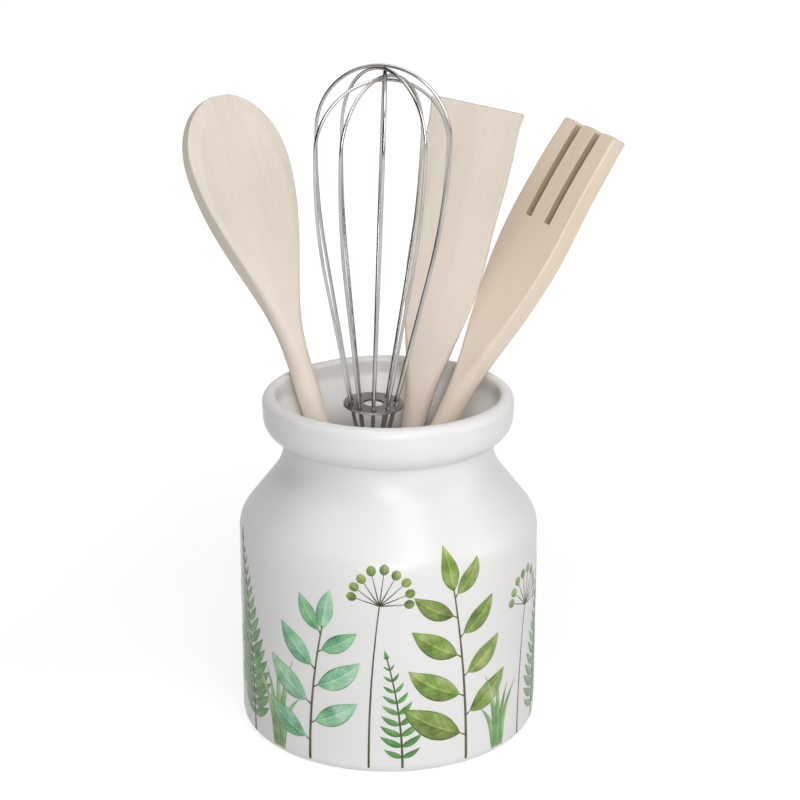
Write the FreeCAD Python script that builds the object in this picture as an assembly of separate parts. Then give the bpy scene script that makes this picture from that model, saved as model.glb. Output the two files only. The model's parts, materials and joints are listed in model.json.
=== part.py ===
import FreeCAD, Part
import math
import os

Vector = FreeCAD.Vector
up = Vector(0, 0, 1)
origin = Vector(0, 0, 0)

# All sizes are in millimetres and all angles in degrees.

# Fits
clearance = 0.3
seat_gap = 0.06
lean_precision = 0.01
side_step = 1.0

# Crock, turned about the upright axis
crock_radius = 68.0
crock_height = 157.0
wall = 6.3
floor_thickness = 8.0
base_round = 5.0
foot_inner_radius = 52.0
foot_recess = 2.0
inside_floor_round = 9.0
neck_radius = 47.3
neck_height = 10.7
neck_round = 25.0
shoulder_angle = 38.0
shoulder_round = 14.5
rim_height = 21.0
rim_overhang = 9.6
rim_draft = 0.8
rim_under_rise = 4.2
rim_under_round = 10.0
rim_wall = 6.7
rim_outer_share = 0.64
rim_inner_share = 0.33
groove_round = 1.0
mouth_depth = 8.5
mouth_slope = 36.0
mouth_crease_round = 6.0
waist_round = 20.0

# Wooden utensils: one dowel size for the three handles
handle_radius = 5.4
edge_round = 0.9
# Half the angle of the four arcs of a round handle that grow into the flat sides of a head
flat_seed = 10.0
neck_steps = 8
# Share of the neck over which the round handle's corners tighten to the edge round
corner_share = 0.625
# The most that an edge round may take of half a head's thickness
edge_limit = 0.92

# Spoon
spoon_length = 296.6
spoon_blend = 95.3
spoon_tip = 31.6
spoon_half_width = 27.6
spoon_tip_half_thickness = 2.5
bowl_half_width = 22.5
bowl_half_length = 38.0
bowl_depth = 2.4
bowl_below_widest = 11.0
# How far the bowl's cutter reaches past the ends of the bowl
bowl_overrun = 1.3
spoon_tip_angles = (14, 28, 42, 55, 66, 75, 82)
spoon_foot = (7.0, -24.0)
spoon_rim_angle = 151.25
spoon_turn = 42.5

# Spatula
spatula_length = 275.4
spatula_blend = 89.0
spatula_blade = 66.0
spatula_half_width = 18.0
spatula_tip_half_width = 21.6
spatula_tip_half_thickness = 1.3
spatula_corner_round = 1.6
spatula_blade_steps = 3
# Share of half the thin blade's thickness that its edge round takes
blade_edge_share = 0.6
spatula_foot = (-10.6, 28.0)
spatula_rim_angle = 64.0
spatula_turn = -9.0

# Fork
fork_length = 293.6
fork_blend = 94.1
fork_tines = 51.8
fork_half_width = 17.8
fork_tip_half_width = 17.0
fork_tip_half_thickness = 4.3
fork_sweep_back = 3.9
fork_slot_width = 3.6
fork_slot_length = 48.0
fork_tip_round = 2.6
fork_tine_count = 3
fork_tine_steps = 4
fork_foot = (-34.7, -6.0)
fork_rim_angle = 33.4
fork_turn = -49.4

# Whisk
whisk_loops = 5
wire_radius = 0.7
whisk_belly = 29.2
whisk_flank_round = 254.0
whisk_grip_length = 126.4
whisk_grip_radius = 9.5
whisk_foot_radius = 7.4
whisk_grip_edge = 1.8
whisk_loop_height = 147.8
socket_depth = 26.0
socket_pitch = 6.0
leg_bend = 25.0
disc_radius = 13.0
disc_pitch = 10.0
disc_thickness = 1.0
disc_eye_radius = 4.5
whisk_turn = -17.0
whisk_foot = (-11.6, -26.0)
whisk_rim_angle = -101.3


def mix(start, end, share):
    return start + (end - start) * share


def ease(share):
    """A smooth step from 0 to 1, level at both ends."""
    return (1 - math.cos(math.pi * share)) / 2


def rounded_face(corners):
    """A face in the XZ plane from corners (x, z, radius), each rounded by a tangent arc."""
    points = [Vector(x, 0, z) for x, z, _ in corners]
    ends = []
    for i, (_, _, radius) in enumerate(corners):
        here = points[i]
        before = (points[i - 1] - here).normalize()
        after = (points[(i + 1) % len(points)] - here).normalize()
        half = before.getAngle(after) / 2
        reach = radius / math.tan(half)
        middle = (before + after).normalize() * (radius / math.sin(half) - radius)
        ends.append((here + before * reach, here + middle, here + after * reach))
    edges = []
    for i, (start, middle, end) in enumerate(ends):
        if corners[i][2] > 0:
            edges.append(Part.Arc(start, middle, end).toShape())
        following = ends[(i + 1) % len(ends)][0]
        edges.append(Part.LineSegment(end, following).toShape())
    return Part.Face(Part.Wire(edges))


def turned(corners):
    """The solid that the rounded corners sweep about the Z axis."""
    return rounded_face(corners).revolve(origin, up, 360)


# Crock heights and radii that follow from the sizes above
rim_radius = neck_radius + rim_overhang
rim_low_radius = rim_radius - rim_draft
rim_base = crock_height - rim_height
neck_base = rim_base - neck_height
slope_run = math.tan(math.radians(shoulder_angle))
shoulder_base = neck_base - (crock_radius - neck_radius) / slope_run
inside_radius = crock_radius - wall
mouth_radius = rim_radius - rim_wall
mouth_round = rim_inner_share * rim_wall
mouth_base = crock_height - mouth_depth
# The inside of the shoulder runs one wall thickness in from its outside.
inside_shoulder_base = shoulder_base - wall * math.tan(math.radians(shoulder_angle / 2))
mouth_run = math.tan(math.radians(mouth_slope))
waist_drop = (mouth_radius - inside_radius + (mouth_base - inside_shoulder_base) * slope_run) / (
    slope_run + mouth_run
)
waist_corner_radius = mouth_radius - waist_drop * mouth_run
waist_corner_height = mouth_base - waist_drop


def crock_body():
    return turned(
        [
            (0, foot_recess, 0),
            (foot_inner_radius - foot_recess, foot_recess, 0),
            (foot_inner_radius, 0, 0),
            (crock_radius, 0, base_round),
            (crock_radius, shoulder_base, shoulder_round),
            (neck_radius, neck_base, neck_round),
            (neck_radius, rim_base, groove_round),
            (rim_low_radius, rim_base + rim_under_rise, rim_under_round),
            (rim_radius, crock_height, rim_outer_share * rim_wall),
            (mouth_radius, crock_height, mouth_round),
            (mouth_radius, mouth_base, mouth_crease_round),
            (waist_corner_radius, waist_corner_height, waist_round),
            (inside_radius, inside_shoulder_base, shoulder_round - wall),
            (inside_radius, floor_thickness, inside_floor_round),
            (0, floor_thickness, 0),
        ]
    )


def leaning(foot, foot_radius, rim_angle, turn, reach):
    """A stand on the floor whose axis passes the mouth at this reach from the crock's own axis."""
    start = Vector(foot[0], foot[1], floor_thickness + foot_radius + clearance)
    angle = math.radians(rim_angle)
    aim = Vector(reach * math.cos(angle), reach * math.sin(angle), crock_height)
    lean = FreeCAD.Rotation(up, aim - start)
    return FreeCAD.Placement(start, lean.multiply(FreeCAD.Rotation(up, turn)))


def tipped(shape, mouth, foot, foot_radius, rim_angle, turn):
    """Where a utensil has tipped outward until only the clearance is left at the mouth."""
    reach = 0.0
    gap = mouth_radius
    while gap > lean_precision:
        placement = leaning(foot, foot_radius, rim_angle, turn, reach)
        gap = placed(shape, placement).distToShape(mouth)[0] - clearance
        reach += gap
    return placement


def at_rest(shape, mouth, standing, foot, foot_radius, rim_angle, turn):
    """Where a utensil stands once it has stepped along the mouth, clear of those already there."""
    for step in range(round(360 / side_step)):
        placement = tipped(shape, mouth, foot, foot_radius, rim_angle + step * side_step, turn)
        stood = placed(shape, placement)
        if all(stood.distToShape(other)[0] >= clearance for other in standing):
            break
    return placement


def placed(shape, placement):
    moved = shape.copy()
    moved.Placement = placement.multiply(moved.Placement)
    return moved


def closed_outline(points):
    """A wire of lines and arcs in turn: start, then (middle or None, end) for each edge."""
    edges = []
    start = points[0]
    for middle, end in points[1:]:
        if middle is None:
            edges.append(Part.LineSegment(start, end).toShape())
        else:
            edges.append(Part.Arc(start, middle, end).toShape())
        start = end
    return Part.Wire(edges)


def round_section(height, radius):
    """A circle in eight arcs, matched edge by edge to flat_section."""

    def at(angle):
        around = math.radians(angle)
        return Vector(radius * math.cos(around), radius * math.sin(around), height)

    points = [at(-90 - flat_seed)]
    for side in (-90, 0, 90, 180):
        points.append((at(side), at(side + flat_seed)))
        points.append((at(side + 45), at(side + 90 - flat_seed)))
    return closed_outline(points)


def flat_section(height, half_width, half_thickness, corner, back=0.0):
    """A rectangle with round corners: four flat sides and four arcs."""
    x = half_width - corner
    y = half_thickness - corner
    points = [Vector(-x, back - half_thickness, height)]
    for cx, cy, sx, sy in ((x, -y, 1, -1), (x, y, 1, 1), (-x, y, -1, 1), (-x, -y, -1, -1)):
        along_x = Vector(cx, back + cy + sy * corner, height)
        along_y = Vector(cx + sx * corner, back + cy, height)
        diagonal = Vector(sx, sy, 0).normalize() * corner
        middle = Vector(cx, back + cy, height) + diagonal
        if sx == -sy:
            points.append((None, along_x))
            points.append((middle, along_y))
        else:
            points.append((None, along_y))
            points.append((middle, along_x))
    return closed_outline(points)


def dowel(length, radius):
    """A round handle from its domed foot, whose centre is the origin, up to the head."""
    cylinder = Part.makeCylinder(radius, length)
    dome = Part.makeSphere(radius, origin, up, -90, 0)
    return cylinder.fuse(dome)


def wedge(share, tip_half_thickness):
    """Half the thickness of a head, which thins evenly from the handle to the tip."""
    return mix(handle_radius, tip_half_thickness, share)


def neck_sections(start, blend, length, half_width, tip_half_thickness):
    """Sections that turn the round handle into the flat root of a head of the given length."""
    sections = [round_section(start, handle_radius)]
    for step in range(1, neck_steps + 1):
        share = step / neck_steps
        width = mix(handle_radius, half_width, ease(share))
        thickness = wedge(share * blend / length, tip_half_thickness)
        corner = mix(handle_radius, edge_round, ease(min(1.0, share / corner_share)))
        corner = min(corner, edge_limit * thickness)
        sections.append(flat_section(start + blend * share, width, thickness, corner))
    return sections


def utensil(sections, head_start):
    head = Part.makeLoft(sections, True, False)
    return dowel(head_start, handle_radius).fuse(head).removeSplitter()


def corner_cutter(x, height, radius, side):
    """What is cut away to round a corner at x and height, with the wood on the given side."""
    front = -2 * handle_radius
    depth = 4 * handle_radius
    box = Part.makeBox(radius, depth, radius)
    box.translate(Vector(min(0, side * radius), front, -radius))
    rod = Part.makeCylinder(radius, depth, Vector(side * radius, front, -radius), Vector(0, 1, 0))
    cutter = box.cut(rod)
    cutter.translate(Vector(x, 0, height))
    return cutter


def spoon():
    widest = spoon_length - handle_radius - spoon_tip
    head_start = widest - spoon_blend
    head_length = spoon_blend + spoon_tip
    sections = neck_sections(
        head_start, spoon_blend, head_length, spoon_half_width, spoon_tip_half_thickness
    )
    for angle in spoon_tip_angles:
        height = widest + spoon_tip * math.sin(math.radians(angle))
        width = spoon_half_width * math.cos(math.radians(angle))
        thickness = wedge((height - head_start) / head_length, spoon_tip_half_thickness)
        sections.append(flat_section(height, width, thickness, edge_round))
    return utensil(sections, head_start).cut(spoon_bowl(widest - bowl_below_widest, head_length))


def spoon_bowl(height, head_length):
    """A shallow barrel that hollows the sloping front of the spoon."""
    along = (bowl_half_length**2 + bowl_depth**2) / (2 * bowl_depth)
    across = (bowl_half_width**2 + bowl_depth**2) / (2 * bowl_depth)
    reach = bowl_overrun * bowl_half_length
    sag = along - math.sqrt(along**2 - reach**2)
    bottom = Vector(0, bowl_depth, 0)
    low = bottom + Vector(0, -sag, -reach)
    high = bottom + Vector(0, -sag, reach)
    low_axis = Vector(0, bowl_depth - across, -reach)
    high_axis = Vector(0, bowl_depth - across, reach)
    outline = Part.Wire(
        [
            Part.Arc(low, bottom, high).toShape(),
            Part.LineSegment(high, high_axis).toShape(),
            Part.LineSegment(high_axis, low_axis).toShape(),
            Part.LineSegment(low_axis, low).toShape(),
        ]
    )
    barrel = Part.Face(outline).revolve(low_axis, up, 360)
    slope = math.degrees(math.atan2(handle_radius - spoon_tip_half_thickness, head_length))
    barrel.rotate(origin, Vector(1, 0, 0), -slope)
    above_tip = spoon_length - handle_radius - height
    front = wedge(1 - above_tip / head_length, spoon_tip_half_thickness)
    barrel.translate(Vector(0, -front, height))
    return barrel


def spatula():
    tip = spatula_length - handle_radius
    root = tip - spatula_blade
    head_start = root - spatula_blend
    head_length = spatula_blend + spatula_blade
    sections = neck_sections(
        head_start, spatula_blend, head_length, spatula_half_width, spatula_tip_half_thickness
    )
    for step in range(1, spatula_blade_steps + 1):
        share = step / spatula_blade_steps
        height = root + spatula_blade * share
        width = mix(spatula_half_width, spatula_tip_half_width, share)
        thickness = wedge((height - head_start) / head_length, spatula_tip_half_thickness)
        corner = min(edge_round, blade_edge_share * thickness)
        sections.append(flat_section(height, width, thickness, corner))
    body = utensil(sections, head_start)
    for side in (-1, 1):
        cutter = corner_cutter(-side * spatula_tip_half_width, tip, spatula_corner_round, side)
        body = body.cut(cutter)
    return body


def fork():
    tip = fork_length - handle_radius
    root = tip - fork_tines
    head_start = root - fork_blend
    head_length = fork_blend + fork_tines
    sections = neck_sections(
        head_start, fork_blend, head_length, fork_half_width, fork_tip_half_thickness
    )
    for step in range(1, fork_tine_steps + 1):
        share = step / fork_tine_steps
        height = root + fork_tines * share
        width = mix(fork_half_width, fork_tip_half_width, share)
        thickness = wedge((height - head_start) / head_length, fork_tip_half_thickness)
        back = fork_sweep_back * share**2
        sections.append(flat_section(height, width, thickness, edge_round, back))
    body = utensil(sections, head_start)
    slots = fork_tine_count - 1
    tine = (2 * fork_tip_half_width - slots * fork_slot_width) / fork_tine_count
    left = -fork_tip_half_width
    for index in range(fork_tine_count):
        right = left + tine
        body = body.cut(corner_cutter(left, tip, fork_tip_round, 1))
        body = body.cut(corner_cutter(right, tip, fork_tip_round, -1))
        if index < slots:
            slot = Part.makeBox(fork_slot_width, 4 * handle_radius, 2 * fork_slot_length)
            slot.translate(Vector(right, -2 * handle_radius, tip - fork_slot_length))
            body = body.cut(slot)
        left = right + fork_slot_width
    return body


# Whisk heights along its own axis, from the centre of its domed foot
grip_top = whisk_grip_length - whisk_foot_radius
apex_step = 2 * wire_radius + seat_gap


def loop_turn(index):
    """Angle of a loop's plane about the whisk's axis."""
    return -index * 180 / whisk_loops


def leg_angle(apex):
    """Slope of a loop's straight legs: the tangent from the disc to the flank's arc."""
    across = disc_pitch - (whisk_belly - whisk_flank_round)
    below = (apex - whisk_belly) - disc_height()
    return math.atan2(below, across) - math.acos(whisk_flank_round / math.hypot(across, below))


def disc_height():
    """The disc sits where the legs, bent outward just above the grip, have spread to its holes."""
    lean = math.atan2(whisk_belly - disc_pitch, whisk_loop_height - whisk_belly)
    spread = disc_pitch - socket_pitch - leg_bend * (1 - math.cos(lean))
    return grip_top + leg_bend * math.sin(lean) + spread / math.tan(lean)


def wire_loop(index):
    """One unbroken wire: down in the grip, out through the disc, over the top and back."""
    apex = disc_height() + whisk_loop_height - index * apex_step
    slope = leg_angle(apex)
    belly = apex - whisk_belly
    flank = Vector(whisk_belly - whisk_flank_round, 0, belly)

    def on_flank(angle):
        return flank + Vector(math.cos(angle), 0, -math.sin(angle)) * whisk_flank_round

    spread = disc_pitch - socket_pitch - leg_bend * (1 - math.cos(slope))
    bend_end = disc_height() - leg_bend * math.sin(slope) - spread / math.tan(slope)
    bend = Vector(socket_pitch + leg_bend, 0, bend_end)

    def on_bend(angle):
        return bend + Vector(-math.cos(angle), 0, math.sin(angle)) * leg_bend

    foot = Vector(socket_pitch, 0, grip_top - socket_depth + seat_gap)
    right_leg = [
        Part.LineSegment(foot, on_bend(0)).toShape(),
        Part.Arc(on_bend(0), on_bend(slope / 2), on_bend(slope)).toShape(),
        Part.LineSegment(on_bend(slope), on_flank(slope)).toShape(),
        Part.Arc(on_flank(slope), on_flank(slope / 2), on_flank(0)).toShape(),
    ]
    top = Part.Arc(on_flank(0), Vector(0, 0, apex), Vector(-whisk_belly, 0, belly)).toShape()
    left_leg = [edge.mirror(origin, Vector(1, 0, 0)) for edge in reversed(right_leg)]
    path = Part.Wire(Part.__sortEdges__(right_leg + [top] + left_leg))
    ring = Part.Wire(Part.makeCircle(wire_radius, foot, up))
    loop = path.makePipeShell([ring], True, False)
    loop.rotate(origin, up, loop_turn(index))
    return loop


def whisk_disc():
    """The spacer that the wires pass through, with a hole for each leg and an eye in the middle."""
    base = Vector(0, 0, disc_height() - disc_thickness / 2)
    below = base - up * disc_thickness
    through = 3 * disc_thickness
    disc = Part.makeCylinder(disc_radius, disc_thickness, base)
    disc = disc.cut(Part.makeCylinder(disc_eye_radius, through, below))
    for index in range(2 * whisk_loops):
        hole = Part.makeCylinder(wire_radius + clearance, through, below + Vector(disc_pitch, 0, 0))
        hole.rotate(origin, up, loop_turn(index))
        disc = disc.cut(hole)
    return disc


def whisk_grip():
    socket_radius = socket_pitch + wire_radius + seat_gap
    socket_floor = grip_top - socket_depth
    body = turned(
        [
            (0, 0, 0),
            (whisk_foot_radius, 0, 0),
            (whisk_grip_radius, grip_top, whisk_grip_edge),
            (socket_radius, grip_top, 0),
            (socket_radius, socket_floor, 0),
            (0, socket_floor, 0),
        ]
    )
    return body.fuse(Part.makeSphere(whisk_foot_radius, origin, up, -90, 0))


def whisk_plug():
    """The peg driven between the wires that wedges them in the grip's socket."""
    plug_radius = socket_pitch - wire_radius - seat_gap
    base = grip_top - socket_depth
    return Part.makeCylinder(plug_radius, socket_depth, Vector(0, 0, base))


def whisk_pieces():
    pieces = {"whisk_grip": whisk_grip(), "whisk_plug": whisk_plug(), "whisk_disc": whisk_disc()}
    for index in range(whisk_loops):
        pieces[f"whisk_wire_loop_{index + 1}"] = wire_loop(index)
    return pieces


def main():
    os.makedirs("parts", exist_ok=True)
    crock = crock_body()
    upper = Part.makeCylinder(2 * crock_radius, crock_height, Vector(0, 0, shoulder_base))
    mouth = crock.common(upper)
    pieces = {"crock_body": crock}
    standing = []
    # The utensils are stood in the crock one after another, anticlockwise round its mouth.
    for group, foot, foot_radius, rim_angle, turn in (
        ({"wooden_fork": fork()}, fork_foot, handle_radius, fork_rim_angle, fork_turn),
        ({"wooden_spatula": spatula()}, spatula_foot, handle_radius, spatula_rim_angle, spatula_turn),
        ({"wooden_spoon": spoon()}, spoon_foot, handle_radius, spoon_rim_angle, spoon_turn),
        (whisk_pieces(), whisk_foot, whisk_foot_radius, whisk_rim_angle, whisk_turn),
    ):
        whole = Part.makeCompound(list(group.values()))
        placement = at_rest(whole, mouth, standing, foot, foot_radius, rim_angle, turn)
        standing.append(placed(whole, placement))
        for name, shape in group.items():
            pieces[name] = placed(shape, placement)
    for name, shape in pieces.items():
        shape.exportStep(f"parts/{name}.step")


main()
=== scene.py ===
import json
import math
import random

import bpy
import numpy as np
from mathutils import Matrix, Vector


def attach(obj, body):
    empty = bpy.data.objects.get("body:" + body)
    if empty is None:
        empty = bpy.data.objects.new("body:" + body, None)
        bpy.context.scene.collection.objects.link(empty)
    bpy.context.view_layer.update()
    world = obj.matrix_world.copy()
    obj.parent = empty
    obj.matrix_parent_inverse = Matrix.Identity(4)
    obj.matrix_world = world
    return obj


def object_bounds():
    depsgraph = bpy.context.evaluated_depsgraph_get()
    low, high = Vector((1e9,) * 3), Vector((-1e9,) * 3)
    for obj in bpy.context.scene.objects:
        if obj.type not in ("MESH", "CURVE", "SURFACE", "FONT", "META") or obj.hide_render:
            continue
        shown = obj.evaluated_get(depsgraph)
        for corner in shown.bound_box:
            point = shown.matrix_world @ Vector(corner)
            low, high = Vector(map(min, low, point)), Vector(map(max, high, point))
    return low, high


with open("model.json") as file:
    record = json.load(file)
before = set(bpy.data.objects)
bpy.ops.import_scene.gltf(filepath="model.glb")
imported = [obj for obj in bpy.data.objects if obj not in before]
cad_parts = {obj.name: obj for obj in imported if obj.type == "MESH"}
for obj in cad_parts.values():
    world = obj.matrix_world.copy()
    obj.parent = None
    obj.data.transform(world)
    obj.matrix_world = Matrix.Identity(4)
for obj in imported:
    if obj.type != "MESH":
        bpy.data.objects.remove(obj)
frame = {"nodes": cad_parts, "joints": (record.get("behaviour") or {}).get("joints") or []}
cad_low, cad_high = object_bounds()

# Lengths are in metres, angles in degrees and colours in linear light.
mm = 0.001

# Camera
camera_place = (0.0053, -0.8822, 0.4447)
camera_tilt = 71.66
camera_lens_mm = 93.0
camera_sensor_mm = 36.0

# Light: azimuth to the right of the front, elevation, side of the lamp and its power in watts
lamp_distance = 1.3
lamps = {
    "key": (24.0, 40.0, 0.5, 4.6),
    "front": (4.0, 16.0, 0.6, 7.7),
    "right": (75.0, 20.0, 0.7, 3.3),
    "top": (0.0, 80.0, 0.8, 4.4),
    "left": (-70.0, 48.0, 0.7, 1.8),
}
sky_strength = 0.05

# Stage
floor_half = 8.0
floor_albedo = 0.8
floor_shadow_share = 0.3
# The floor's own glow near the object, and further off where less light falls on it
floor_glow = (0.82, 1.0)
floor_glow_reach = (0.2, 0.7)
card_distance = 2.2
card_height = 3.0
card_from = -125.0
card_to = 70.0
card_steps = 24
card_grey = 0.02

# Noise: nearly all of its values lie in the wide range, and most of them in the narrow one
noise_wide = (0.25, 0.75)
noise_narrow = (0.3, 0.7)

# Glaze
glaze_white = (0.775, 0.77, 0.755)
glaze_shade = (0.76, 0.755, 0.742)
glaze_cloud_scale = 22.0
glaze_roughness = (0.285, 0.36)
glaze_satin_scale = 60.0
glaze_peel_scale = 420.0
glaze_peel_depth = 0.02 * mm
glaze_peel_strength = 0.1
# Bare clay at the foot, with a ragged edge
bare_clay = (0.62, 0.55, 0.46)
bare_roughness = 0.85
bare_edge_scale = 350.0
bare_edge_heights = (0.15 * mm, 0.45 * mm)

# Wood: pale and dark ends of the grain for each utensil
spoon_tones = ((0.76, 0.70, 0.615), (0.67, 0.595, 0.50))
spatula_tones = ((0.74, 0.675, 0.585), (0.65, 0.57, 0.475))
fork_tones = ((0.79, 0.68, 0.55), (0.675, 0.555, 0.42))
grip_tones = ((0.62, 0.47, 0.32), (0.46, 0.32, 0.20))
# Marks in the wood: about how many lie in a metre across, through and along the grain, and their share
# of its darkness
band_scale = (95.0, 95.0, 5.0)
band_share = 0.62
fibre_scale = (1300.0, 1300.0, 30.0)
fibre_share = 0.38
fleck_scale = (1500.0, 1500.0, 190.0)
fleck_range = (0.66, 0.74)
fleck_share = 0.35
fleck_depth = 0.6
wood_roughness = (0.55, 0.7)
wood_specular = 0.35
wood_relief = 0.08 * mm
wood_relief_strength = 0.5
# Painted light: the handles are painted paler, in place of the brighter light that falls on them, and
# pinker, up to where the heads begin to widen
handle_light_tone = (0.92, 0.81, 0.71)
handle_light_share = 0.5
handle_fade = (175.0 * mm, 245.0 * mm)
# The walls of the fork's slots: how far the slots lie from its middle line, half their width with
# a margin, where they begin along the grain, and how far painted shade darkens their wood there
slot_offset = 6.3 * mm
slot_half = 2.1 * mm
slot_start = 235.5 * mm
slot_shade_brown = (0.26, 0.16, 0.085)
slot_shade_share = 0.6
# A wall turns at most this far to the front or the back, and other faces turn further
slot_facing = (0.4, 0.7)

# Steel: dark and light tones, roughness, and about how many drawing lines lie in a metre along each axis
wire_tones = ((0.38, 0.365, 0.35), (0.52, 0.50, 0.48))
wire_roughness = (0.12, 0.24)
wire_lines = (1500.0, 1500.0, 40.0)
disc_tones = ((0.30, 0.285, 0.27), (0.42, 0.405, 0.39))
disc_roughness = (0.22, 0.4)
disc_lines = (900.0, 60.0, 900.0)
steel_smudge_scale = 60.0
steel_line_depth = 0.01 * mm
steel_line_strength = 0.4
# How much a rounded edge still mirrors
steel_edge = (0.12, 0.12, 0.12)

# Ink: greens from dark to light, with an accent for the wash
fern_greens = ((0.035, 0.13, 0.03), (0.11, 0.29, 0.075), (0.27, 0.48, 0.19))
fern_accent = (0.20, 0.47, 0.22)
mint_greens = ((0.07, 0.25, 0.14), (0.23, 0.48, 0.30), (0.50, 0.71, 0.55))
mint_accent = (0.45, 0.60, 0.26)
olive_greens = ((0.07, 0.11, 0.02), (0.21, 0.30, 0.06), (0.45, 0.52, 0.20))
olive_accent = (0.25, 0.46, 0.22)
sage_greens = ((0.10, 0.20, 0.06), (0.25, 0.40, 0.16), (0.46, 0.60, 0.34))
sage_accent = (0.33, 0.55, 0.36)
stem_greens = ((0.05, 0.05, 0.015), (0.09, 0.09, 0.03), (0.15, 0.15, 0.05))
stem_accent = (0.12, 0.15, 0.05)
ink_roughness = 0.3
# Marks on a leaf: where they lie, and how far each makes it darker or lighter, where 1 is the whole
# range of its greens
wash_scale = 150.0
wash_swing = 0.3
half_swing = 0.1
half_edge = 0.05
growth_swing = (-0.16, 0.1)
vein_sweep = 0.55
vein_turns = 44.0
vein_range = (0.82, 1.0)
vein_lift = 0.2
rib_range = (0.015, 0.05)
rib_lift = 0.35
edge_range = (0.43, 0.5)
edge_drop = -0.4
patch_scale = 95.0
patch_range = (0.5, 0.58)
patch_share = 0.5

# Print: its lift from the glaze, layers that keep crossing leaves apart, and its place on the wall
print_lift = 0.05 * mm
print_layer = 0.04 * mm
print_layers = 4
print_stem_lift = 0.02 * mm
print_overlap_lift = 0.002 * mm
print_overlaps = 9
print_base = 3.5 * mm
print_true_height = 50.0 * mm
print_repeats = 2
print_seed = 7
# Heights between which the wall is felt, and how closely that and the rows of faces follow its curve
wall_heights = (1.0 * mm, 120.0 * mm)
wall_step = 0.25 * mm
print_step = 1.0 * mm
# A leaf's least rows, its columns, its least share of its width, and its usual outline
leaf_rows = 18
leaf_columns = 8
leaf_least_width = 0.04
leaf_fullness = 0.85
leaf_point = 0.9
# Share of a path to either side of a place, over which its heading is taken
path_step = 0.01

# Fern: leaflets swell from the foot and taper to the tip. Their longest length and the tip leaf's size
# are shares of the frond's height, and their width is a share of their own length
fern_stem = 1.1 * mm
fern_stem_tone = 0.5
fern_pair_spacing = 5.2 * mm
fern_leafy = (0.1, 0.98)
fern_leaflet = 0.24
fern_leaflet_width = 0.29
fern_swell_start = 0.5
fern_swell_rate = 2.2
fern_taper_end = 1.08
fern_taper_power = 0.8
fern_angles = (64.0, 40.0)
fern_bend = (20.0, 34.0)
fern_tone_swing = (-0.1, 0.1)
fern_fullness = 0.72
fern_tip_at = 0.97
fern_tip_length = 0.09
fern_tip_width = 0.03

# Sprig: widths and stalks are shares of the leaf's length
sprig_stem = 1.3 * mm
sprig_stalk = 0.8 * mm
sprig_stem_tone = 0.6
sprig_leafy = (0.14, 0.94)
sprig_lengths = (1.05, 0.7)
sprig_length_swing = (0.9, 1.1)
sprig_angles = (58.0, 40.0)
sprig_angle_swing = (0.0, 8.0)
sprig_stalk_length = 0.12
sprig_leaf_width = 0.42
sprig_bend = (14.0, 34.0)
sprig_tone_swing = (-0.15, 0.15)
sprig_tip_at = 0.98
sprig_tip_length = 0.72
sprig_tip_width = 0.4
sprig_tip_bend = 8.0
sprig_tip_lift = 0.1

# Seed head: the outer rays are shorter
umbel_stem = 1.0 * mm
umbel_stem_tone = 0.4
umbel_spread = 80.0
umbel_ray = 0.6 * mm
umbel_ray_tone = 0.5
umbel_ray_lengths = (14.0 * mm, 10.5 * mm)
umbel_ray_swing = (0.0 * mm, 1.5 * mm)
seed_length = 4.6 * mm
seed_width = 4.2 * mm
seed_tone_swing = (-0.1, 0.2)
seed_fullness = 1.0
seed_point = 0.5

# Grass: the outer blades are shorter and arch further
grass_foot_half = 3.0 * mm
grass_lengths = (1.0, 0.7)
grass_length_swing = (0.85, 1.15)
grass_blade_width = 0.075
grass_angle = 20.0
grass_bend = 52.0
grass_tone_swing = (-0.15, 0.15)
grass_fullness = 0.6


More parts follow.
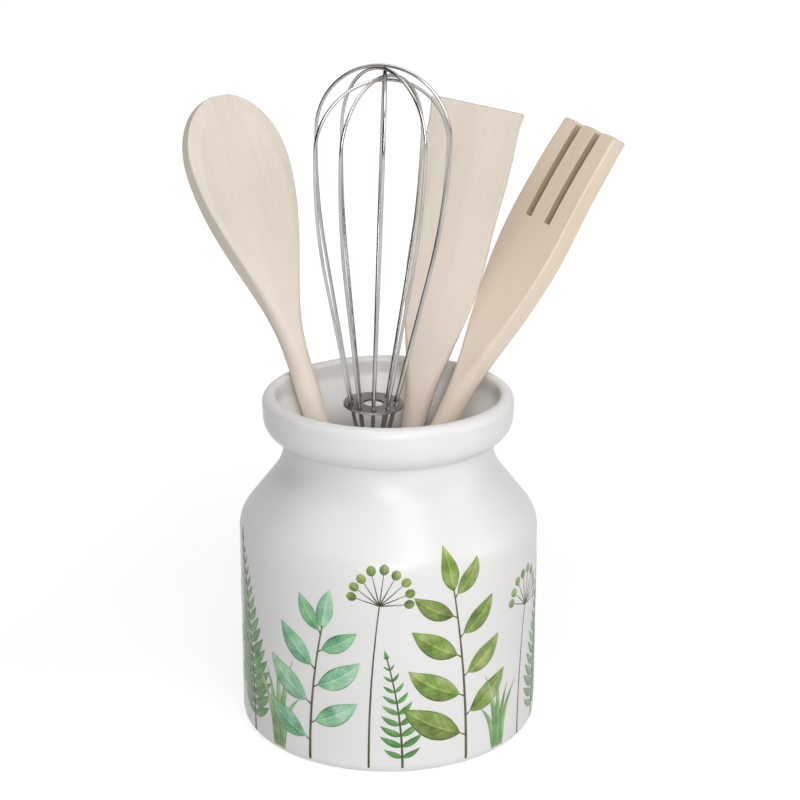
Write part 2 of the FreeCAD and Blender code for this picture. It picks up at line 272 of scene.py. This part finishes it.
class Graph:
    """The shader nodes of a material or a world, which are added and joined one by one."""

    def __init__(self, owner):
        owner.use_nodes = True
        self.owner = owner
        self.tree = owner.node_tree
        self.tree.nodes.clear()

    def add(self, kind, inputs=None, **settings):
        node = self.tree.nodes.new("ShaderNode" + kind)
        for key, value in settings.items():
            setattr(node, key, value)
        for key, value in (inputs or {}).items():
            self.feed(node.inputs[key], value)
        return node

    def feed(self, socket, value):
        if isinstance(value, bpy.types.NodeSocket):
            self.tree.links.new(value, socket)
        else:
            socket.default_value = value

    def place(self):
        """Where the surface is in the part's frame."""
        return self.add("TexCoord").outputs["Object"]

    def axes(self, vector):
        return self.add("SeparateXYZ", {"Vector": vector}).outputs

    def stretched(self, vector, scale):
        return self.add("Mapping", {"Vector": vector, "Scale": scale}).outputs["Vector"]

    def noise(self, vector, scale=1.0, detail=3.0):
        inputs = {"Vector": vector, "Scale": scale, "Detail": detail}
        return self.add("TexNoise", inputs).outputs["Fac"]

    def math(self, operation, first, second=0.0, third=0.0):
        return self.add("Math", {0: first, 1: second, 2: third}, operation=operation).outputs[0]

    def span(self, value, low, high, to_low=0.0, to_high=1.0):
        """The value's range from low to high, spread over another range."""
        inputs = {"Value": value, "From Min": low, "From Max": high, "To Min": to_low, "To Max": to_high}
        return self.add("MapRange", inputs).outputs["Result"]

    def ramp(self, factor, colours):
        """Colours spaced evenly from factor 0 to 1."""
        node = self.add("ValToRGB", {"Fac": factor})
        stops = node.color_ramp.elements
        while len(stops) < len(colours):
            stops.new(1.0)
        for index, rgb in enumerate(colours):
            stops[index].position = index / (len(colours) - 1)
            stops[index].color = colour(rgb)
        return node.outputs["Color"]

    def blend(self, factor, first, second, blend_type="MIX"):
        node = self.add("Mix", {"Factor": factor}, data_type="RGBA", blend_type=blend_type)
        self.feed(node.inputs["A"], first)
        self.feed(node.inputs["B"], second)
        return node.outputs["Result"]

    def bump(self, height, depth, strength):
        inputs = {"Height": height, "Distance": depth, "Strength": strength}
        return self.add("Bump", inputs).outputs["Normal"]

    def finish(self, shader):
        self.add("OutputMaterial", {"Surface": shader})
        return self.owner

    def principled(self, inputs):
        return self.finish(self.add("BsdfPrincipled", inputs).outputs["BSDF"])


def material_graph(name):
    return Graph(bpy.data.materials.new(name))


def colour(rgb):
    return (*rgb, 1.0)


def grey(level):
    return (level, level, level, 1.0)


def mix(start, end, share):
    return start + (end - start) * share


def between(low, high):
    """The next number from the dice, in a range."""
    return mix(low, high, dice.random())


def glaze():
    """Satin white glaze, faintly cloudy, with a bare clay ring where the crock stands."""
    graph = material_graph("glaze")
    place = graph.place()
    cloud = graph.span(graph.noise(place, glaze_cloud_scale), *noise_narrow)
    white = graph.ramp(cloud, (glaze_shade, glaze_white))
    ragged = graph.span(graph.noise(place, bare_edge_scale), 0.0, 1.0, *bare_edge_heights)
    bare = graph.math("LESS_THAN", graph.axes(place)["Z"], ragged)
    satin = graph.span(graph.noise(place, glaze_satin_scale, detail=1.0), 0.0, 1.0, *glaze_roughness)
    peel = graph.noise(place, glaze_peel_scale, detail=2.0)
    return graph.principled(
        {
            "Base Color": graph.blend(bare, white, colour(bare_clay)),
            "Roughness": graph.span(bare, 0.0, 1.0, satin, bare_roughness),
            "Normal": graph.bump(peel, glaze_peel_depth, glaze_peel_strength),
        }
    )


def grain_frame(node_name, axis):
    """The turn and shift from the part's frame to the wood's own: Z along the grain, X across the flat."""
    points = np.array([v.co for v in frame["nodes"][node_name].data.vertices])
    along = np.array(axis) / np.linalg.norm(axis)
    flat = points - points.mean(0)
    flat = flat - np.outer(flat @ along, along)
    across = np.linalg.svd(flat.T @ flat)[0][:, 0]
    thick = np.cross(along, across)
    sideways = points @ across
    middle = (sideways.min() + sideways.max()) / 2
    return Matrix((across, thick, along)).to_euler(), (-middle, 0.0, 0.0)


def slot_walls(graph, grain, turn):
    """1 on the walls between the fork's tines, which face neither its front nor its back: where painted
    shade goes.
    """
    spot = graph.axes(grain)
    between_tines = graph.math("COMPARE", graph.math("ABSOLUTE", spot["X"]), slot_offset, slot_half)
    above = graph.math("GREATER_THAN", spot["Z"], slot_start)
    normal = graph.add("TexCoord").outputs["Normal"]
    facing = graph.add("Mapping", {"Vector": normal, "Rotation": turn}, vector_type="VECTOR")
    front = graph.math("ABSOLUTE", graph.axes(facing.outputs["Vector"])["Y"])
    sideways = graph.span(front, *slot_facing, 1.0, 0.0)
    return graph.math("MULTIPLY", sideways, graph.math("MULTIPLY", between_tines, above))


def wood(name, tones, turn, shift, shade_slots=False):
    """Sanded close-grained wood: broad bands, fine fibres and short dark flecks along the grain, with
    painted light on the handles and painted shade on the fork's slot walls.
    """
    graph = material_graph(name)
    inputs = {"Vector": graph.place(), "Rotation": turn, "Location": shift}
    grain = graph.add("Mapping", inputs).outputs["Vector"]
    bands = graph.noise(graph.stretched(grain, band_scale), detail=2.0)
    fibres = graph.noise(graph.stretched(grain, fibre_scale), detail=3.0)
    flecks = graph.noise(graph.stretched(grain, fleck_scale), detail=1.0)
    fleck = graph.span(flecks, *fleck_range)
    band_shade = graph.span(bands, *noise_wide, 0.0, band_share)
    fibre_shade = graph.span(fibres, *noise_wide, 0.0, fibre_share)
    fleck_shade = graph.math("MULTIPLY", fleck, fleck_share)
    shade = graph.math("ADD", graph.math("ADD", band_shade, fibre_shade), fleck_shade)
    relief = graph.math("SUBTRACT", fibres, graph.math("MULTIPLY", fleck, fleck_depth))
    # Painted light: the wood is blended towards a paler tone along the handles
    handle_light = graph.span(graph.axes(grain)["Z"], *handle_fade, handle_light_share, 0.0)
    base = graph.blend(handle_light, graph.ramp(shade, tones), colour(handle_light_tone))
    # Painted shade: the walls between the fork's tines are darkened in place of the shade that falls in the
    # slots
    if shade_slots:
        dark = graph.math("MULTIPLY", slot_walls(graph, grain, turn), slot_shade_share)
        base = graph.blend(dark, base, colour(slot_shade_brown))
    return graph.principled(
        {
            "Base Color": base,
            "Roughness": graph.span(fibres, *noise_narrow, *wood_roughness),
            "Specular IOR Level": wood_specular,
            "Normal": graph.bump(relief, wood_relief, wood_relief_strength),
        }
    )


def steel(name, tones, roughness, lines):
    """Stainless steel whose fine drawing lines are longest where the line scale is least."""
    graph = material_graph(name)
    place = graph.place()
    streak = graph.noise(graph.stretched(place, lines), detail=2.0)
    smudge = graph.noise(place, steel_smudge_scale)
    return graph.principled(
        {
            "Base Color": graph.ramp(graph.span(smudge, *noise_narrow), tones),
            "Metallic": 1.0,
            "Specular Tint": colour(steel_edge),
            "Roughness": graph.span(streak, *noise_wide, *roughness),
            "Normal": graph.bump(streak, steel_line_depth, steel_line_strength),
        }
    )


def ink(name, greens, accent):
    """Printed leaf colour: a wash in two greens, a pale midrib, fine side veins and a darker edge."""
    graph = material_graph(name)
    place = graph.place()
    spot = graph.axes(graph.add("UVMap", uv_map="leaf").outputs["UV"])
    along = spot["X"]
    across = graph.math("SUBTRACT", spot["Y"], 0.5)
    side = graph.math("ABSOLUTE", across)
    sweep = graph.math("SUBTRACT", along, graph.math("MULTIPLY", side, vein_sweep))
    veins = graph.math("SINE", graph.math("MULTIPLY", sweep, vein_turns))
    marks = (
        graph.span(graph.noise(place, wash_scale), *noise_narrow, -wash_swing, wash_swing),
        graph.span(across, -half_edge, half_edge, -half_swing, half_swing),
        graph.span(along, 0.0, 1.0, *growth_swing),
        graph.span(veins, *vein_range, 0.0, vein_lift),
        graph.span(side, *rib_range, rib_lift, 0.0),
        graph.span(side, *edge_range, 0.0, edge_drop),
    )
    shade = graph.add("Attribute", attribute_name="tone").outputs["Fac"]
    for mark in marks:
        shade = graph.math("ADD", shade, mark)
    patch = graph.span(graph.noise(place, patch_scale, detail=1.0), *patch_range, 0.0, patch_share)
    green = graph.blend(patch, graph.ramp(shade, greens), colour(accent), "SOFT_LIGHT")
    return graph.principled({"Base Color": green, "Roughness": ink_roughness})


def wall_radius():
    """How far the crock's wall stands from its axis, as a function of height, felt from outside."""
    crock = frame["nodes"]["crock_body"]
    heights = np.arange(*wall_heights, wall_step)
    inward = Vector((0.0, 1.0, 0.0))
    radii = [-crock.ray_cast(Vector((0.0, -1.0, height)), inward)[1].y for height in heights]
    return lambda height: float(np.interp(height, heights, radii))


class Print:
    """Part of the printed design: drawn flat as (along the wall, up), then wrapped on the crock."""

    def __init__(self, name, lift=0.0):
        self.name = name
        self.lift = print_lift + lift
        self.layer = 0
        self.points = []
        self.faces = []
        self.marks = []
        self.tones = []
        self.patches = 0

    def on_wall(self, flat):
        angle = flat.x / true_radius
        overlap = self.patches % print_overlaps * print_overlap_lift
        radius = crock_radius_at(flat.y) + self.lift + self.layer * print_layer + overlap
        return Vector((radius * math.sin(angle), -radius * math.cos(angle), flat.y))

    def patch(self, rows, tone):
        """A strip of faces through rows of flat points."""
        first = len(self.points)
        columns = len(rows[0])
        self.patches += 1
        for i, row in enumerate(rows):
            for j, flat in enumerate(row):
                self.points.append(self.on_wall(flat))
                self.marks.append((i / (len(rows) - 1), j / (columns - 1)))
                self.tones.append(tone)
        for i in range(len(rows) - 1):
            for j in range(columns - 1):
                corner = first + i * columns + j
                self.faces.append((corner, corner + 1, corner + columns + 1, corner + columns))

    def leaf(self, root, angle, length, width, bend, tone, fullness=leaf_fullness, point=leaf_point):
        """A leaf from its root, at an angle from upright, that bends as it grows; round if point is 0.5."""
        rows = []
        spot = root.copy()
        count = max(leaf_rows, math.ceil(length / print_step))
        for i in range(count + 1):
            share = i / count
            forward = pointing(angle + bend * (share - 0.5))
            aside = Vector((forward.y, -forward.x))
            half = width / 2 * max(leaf_least_width, math.sin(math.pi * share**fullness) ** point)
            rows.append([spot + aside * half * (2 * j / leaf_columns - 1) for j in range(leaf_columns + 1)])
            spot = spot + forward * length / count
        self.patch(rows, tone)

    def stem(self, path, width, tone):
        """A line along a path, half as wide at its end as at its start."""
        rows = []
        count = math.ceil((path(1.0) - path(0.0)).length / print_step)
        for i in range(count + 1):
            share = i / count
            forward = heading_of(path, share)
            aside = Vector((forward.y, -forward.x)) * width * (1 - share / 2) / 2
            rows.append([path(share) - aside, path(share) + aside])
        self.patch(rows, tone)

    def build(self, material):
        mesh = bpy.data.meshes.new(self.name)
        mesh.from_pydata(self.points, [], self.faces)
        mesh.polygons.foreach_set("use_smooth", [True] * len(self.faces))
        uv = mesh.uv_layers.new(name="leaf")
        uv.data.foreach_set("uv", [x for loop in mesh.loops for x in self.marks[loop.vertex_index]])
        mesh.attributes.new("tone", "FLOAT", "POINT").data.foreach_set("value", self.tones)
        mesh.materials.append(material)
        piece = bpy.data.objects.new(self.name, mesh)
        bpy.context.scene.collection.objects.link(piece)
        film = piece.modifiers.new("film", "SOLIDIFY")
        film.thickness = print_lift
        film.offset = -1.0
        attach(piece, "crock")


def pointing(angle):
    """The flat direction at an angle from upright."""
    return Vector((math.sin(math.radians(angle)), math.cos(math.radians(angle))))


def heading_of(path, share):
    return (path(share + path_step) - path(share - path_step)).normalized()


def upright_angle(path, share):
    forward = heading_of(path, share)
    return math.degrees(math.atan2(forward.x, forward.y))


def straight_path(start, end):
    return lambda share: start.lerp(end, share)


def bent_path(foot, height, lean):
    """A stem from its foot on the wall that leans further over the higher it gets."""
    return lambda share: Vector((foot + lean * share * abs(share), print_base + height * share))


def fern(leaves, stems, foot, height, lean, tone):
    """A frond: pairs of leaflets that shorten towards its tip."""
    path = bent_path(foot, height, lean)
    stems.stem(path, fern_stem, fern_stem_tone)
    pairs = round(height / fern_pair_spacing)
    for index in range(pairs):
        share = mix(*fern_leafy, index / (pairs - 1))
        swell = min(1.0, fern_swell_start + fern_swell_rate * share)
        length = fern_leaflet * height * swell * (fern_taper_end - share) ** fern_taper_power
        for side in (-1, 1):
            angle = upright_angle(path, share) + side * mix(*fern_angles, share)
            bend = -side * between(*fern_bend)
            shade = tone + between(*fern_tone_swing)
            leaves.leaf(path(share), angle, length, fern_leaflet_width * length, bend, shade, fern_fullness)
    tip = path(fern_tip_at)
    angle = upright_angle(path, 1.0)
    leaves.leaf(tip, angle, fern_tip_length * height, fern_tip_width * height, 0.0, tone, fern_fullness)


def sprig(leaves, stems, foot, height, lean, tone, count, leaf):
    """A branch of broad single leaves that stand left and right in turn, with one at its tip."""
    path = bent_path(foot, height, lean)
    stems.stem(path, sprig_stem, sprig_stem_tone)
    for index in range(count):
        share = mix(*sprig_leafy, index / (count - 1))
        side = 1 if index % 2 else -1
        length = leaf * mix(*sprig_lengths, share) * between(*sprig_length_swing)
        spread = mix(*sprig_angles, share) + between(*sprig_angle_swing)
        angle = upright_angle(path, share) + side * spread
        stalk_end = path(share) + pointing(angle) * sprig_stalk_length * length
        stems.stem(straight_path(path(share), stalk_end), sprig_stalk, sprig_stem_tone)
        bend = -side * between(*sprig_bend)
        shade = tone + between(*sprig_tone_swing)
        leaves.leaf(stalk_end, angle, length, sprig_leaf_width * length, bend, shade)
    tip = path(sprig_tip_at)
    angle = upright_angle(path, 1.0)
    length = sprig_tip_length * leaf
    leaves.leaf(tip, angle, length, sprig_tip_width * length, sprig_tip_bend, tone + sprig_tip_lift)


def umbel(seeds, stems, foot, height, lean, tone, count):
    """A seed head: rays that fan out from the top of a stem, each with a round seed."""
    path = bent_path(foot, height, lean)
    stems.stem(path, umbel_stem, umbel_stem_tone)
    top = path(1.0)
    for index in range(count):
        spread = 2 * index / (count - 1) - 1
        angle = upright_angle(path, 1.0) + umbel_spread * spread
        end = top + pointing(angle) * (mix(*umbel_ray_lengths, abs(spread)) + between(*umbel_ray_swing))
        stems.stem(straight_path(top, end), umbel_ray, umbel_ray_tone)
        shade = tone + between(*seed_tone_swing)
        seeds.leaf(end, angle, seed_length, seed_width, 0.0, shade, seed_fullness, seed_point)


def grass(blades, _stems, foot, height, tone, count):
    """A tuft of narrow blades that arch outwards from one foot, with no stems."""
    for index in range(count):
        spread = 2 * index / (count - 1) - 1
        length = height * mix(*grass_lengths, abs(spread)) * between(*grass_length_swing)
        root = Vector((foot + grass_foot_half * spread, print_base))
        width = grass_blade_width * height
        shade = tone + between(*grass_tone_swing)
        blades.leaf(root, grass_angle * spread, length, width, grass_bend * spread, shade, grass_fullness)


def print_design():
    """A meadow border of fronds, sprigs, seed heads and grass that runs evenly round the crock."""
    blades = Print("print_grass")
    ferns = Print("print_fern_fronds")
    mint = Print("print_mint_sprigs")
    olive = Print("print_olive_sprigs")
    seeds = Print("print_seed_heads")
    stems = Print("print_stems", print_stem_lift)
    # Each plant's place along a repeat from 0 to 1, its kind, the print that it goes to and its sizes
    plants = (
        (0.03, sprig, mint, dict(height=50.0 * mm, lean=-9.0 * mm, tone=0.4, count=6, leaf=23.0 * mm)),
        (0.15, fern, ferns, dict(height=90.0 * mm, lean=-13.0 * mm, tone=0.4)),
        (0.245, grass, blades, dict(height=48.0 * mm, tone=0.5, count=5)),
        (0.33, sprig, mint, dict(height=66.0 * mm, lean=7.0 * mm, tone=0.5, count=7, leaf=27.0 * mm)),
        (0.46, umbel, seeds, dict(height=78.0 * mm, lean=5.0 * mm, tone=0.4, count=9)),
        (0.53, fern, ferns, dict(height=54.0 * mm, lean=-7.0 * mm, tone=0.5)),
        (0.67, sprig, olive, dict(height=84.0 * mm, lean=-7.0 * mm, tone=0.45, count=8, leaf=28.0 * mm)),
        (0.755, grass, blades, dict(height=40.0 * mm, tone=0.45, count=5)),
        (0.83, umbel, seeds, dict(height=62.0 * mm, lean=6.0 * mm, tone=0.45, count=9)),
        (0.915, fern, ferns, dict(height=74.0 * mm, lean=12.0 * mm, tone=0.45)),
    )
    repeat_length = 2 * math.pi * true_radius / print_repeats
    for repeat in range(print_repeats):
        for index, (place, plant, part, sizes) in enumerate(plants):
            part.layer = stems.layer = index % print_layers
            plant(part, stems, (repeat - 0.5 + place) * repeat_length, **sizes)
    blades.build(ink("grass_ink", sage_greens, sage_accent))
    ferns.build(ink("fern_ink", fern_greens, fern_accent))
    mint.build(ink("mint_ink", mint_greens, mint_accent))
    olive.build(ink("olive_ink", olive_greens, olive_accent))
    seeds.build(ink("seed_ink", olive_greens, olive_accent))
    stems.build(ink("stem_ink", stem_greens, stem_accent))


def dress(node_name, material):
    """Gives a piece of the object its finish."""
    mesh = frame["nodes"][node_name].data
    mesh.materials.clear()
    mesh.materials.append(material)


def lift_axis(body):
    """A utensil is lifted out along its own length."""
    return next(joint["axis"] for joint in frame["joints"] if joint["child"] == body)


def dress_all():
    dress("crock_body", glaze())
    for node_name, body, tones in (
        ("wooden_spoon", "spoon", spoon_tones),
        ("wooden_spatula", "spatula", spatula_tones),
        ("wooden_fork", "fork", fork_tones),
        ("whisk_grip", "whisk", grip_tones),
    ):
        turn, shift = grain_frame(node_name, lift_axis(body))
        dress(node_name, wood(node_name + "_wood", tones, turn, shift, shade_slots=body == "fork"))
    dress("whisk_plug", frame["nodes"]["whisk_grip"].data.materials[0])
    dress("whisk_disc", steel("disc_steel", disc_tones, disc_roughness, disc_lines))
    wire = steel("wire_steel", wire_tones, wire_roughness, wire_lines)
    for node_name in frame["nodes"]:
        if node_name.startswith("whisk_wire_loop"):
            dress(node_name, wire)


def seen_directly(graph):
    """1 for rays from the camera, and for those that metal or glass turns back to the stage."""
    ray = graph.add("LightPath").outputs
    seen = graph.math("MAXIMUM", ray["Is Camera Ray"], ray["Is Glossy Ray"])
    return graph.math("MAXIMUM", seen, ray["Is Transmission Ray"])


def floor_material():
    """White to the eye, with the object's shadow, and plain pale grey to the light."""
    graph = material_graph("floor")
    plain = graph.add("BsdfDiffuse", {"Color": grey(floor_albedo)}).outputs["BSDF"]
    shadowed = graph.add("BsdfDiffuse", {"Color": grey(floor_shadow_share)}).outputs["BSDF"]
    distance = graph.add("VectorMath", {0: graph.place()}, operation="LENGTH").outputs["Value"]
    strength = graph.span(distance, *floor_glow_reach, *floor_glow)
    glow = graph.add("Emission", {"Strength": strength}).outputs["Emission"]
    seen = graph.add("AddShader", {0: shadowed, 1: glow}).outputs["Shader"]
    either = graph.add("MixShader", {0: seen_directly(graph), 1: plain, 2: seen})
    return graph.finish(either.outputs["Shader"])


def card_material():
    graph = material_graph("card")
    return graph.finish(graph.add("BsdfDiffuse", {"Color": grey(card_grey)}).outputs["BSDF"])


def sheet(name, corners, faces, material):
    mesh = bpy.data.meshes.new(name)
    mesh.from_pydata(corners, [], faces)
    mesh.materials.append(material)
    piece = bpy.data.objects.new(name, mesh)
    bpy.context.scene.collection.objects.link(piece)
    return piece


def floor():
    half = floor_half
    corners = ((-half, -half, 0), (half, -half, 0), (half, half, 0), (-half, half, 0))
    sheet("floor", corners, [(0, 1, 2, 3)], floor_material())


def card():
    """A dark curved card behind the camera that only reflections show."""
    corners = []
    faces = []
    for step in range(card_steps + 1):
        around = math.radians(mix(card_from, card_to, step / card_steps))
        x = card_distance * math.sin(around)
        y = -card_distance * math.cos(around)
        corners.extend(((x, y, 0), (x, y, card_height)))
    for step in range(card_steps):
        faces.append((2 * step, 2 * step + 2, 2 * step + 3, 2 * step + 1))
    piece = sheet("card", corners, faces, card_material())
    piece.visible_camera = False
    piece.visible_diffuse = False
    piece.visible_transmission = False
    piece.visible_shadow = False


def sky():
    """White where it is seen, and a soft even light on the object."""
    world = bpy.data.worlds.new("sky")
    bpy.context.scene.world = world
    graph = Graph(world)
    strength = graph.span(seen_directly(graph), 0.0, 1.0, sky_strength, 1.0)
    background = graph.add("Background", {"Color": grey(1.0), "Strength": strength})
    graph.add("OutputWorld", {"Surface": background.outputs["Background"]})


def lamp(name, azimuth, elevation, side, power):
    """A square soft light that faces the middle of the object."""
    light = bpy.data.lights.new(name, "AREA")
    light.energy = power
    light.size = side
    holder = bpy.data.objects.new(name, light)
    bpy.context.scene.collection.objects.link(holder)
    around = math.radians(azimuth)
    above = math.radians(elevation)
    level = math.cos(above)
    back = Vector((math.sin(around) * level, -math.cos(around) * level, math.sin(above)))
    holder.location = (cad_low + cad_high) / 2 + back * lamp_distance
    holder.rotation_euler = (-back).to_track_quat("-Z", "Y").to_euler()


def camera():
    lens = bpy.data.cameras.new("camera")
    lens.lens = camera_lens_mm
    lens.sensor_width = camera_sensor_mm
    eye = bpy.data.objects.new("camera", lens)
    bpy.context.scene.collection.objects.link(eye)
    eye.location = camera_place
    eye.rotation_euler = (math.radians(camera_tilt), 0, 0)
    bpy.context.scene.camera = eye


dice = random.Random(print_seed)
crock_radius_at = wall_radius()
# Along the wall the design is true to size at this radius
true_radius = crock_radius_at(print_true_height)

bpy.context.scene.view_settings.view_transform = "Standard"
camera()
sky()
for lamp_name, setting in lamps.items():
    lamp(lamp_name, *setting)
floor()
card()
dress_all()
print_design()
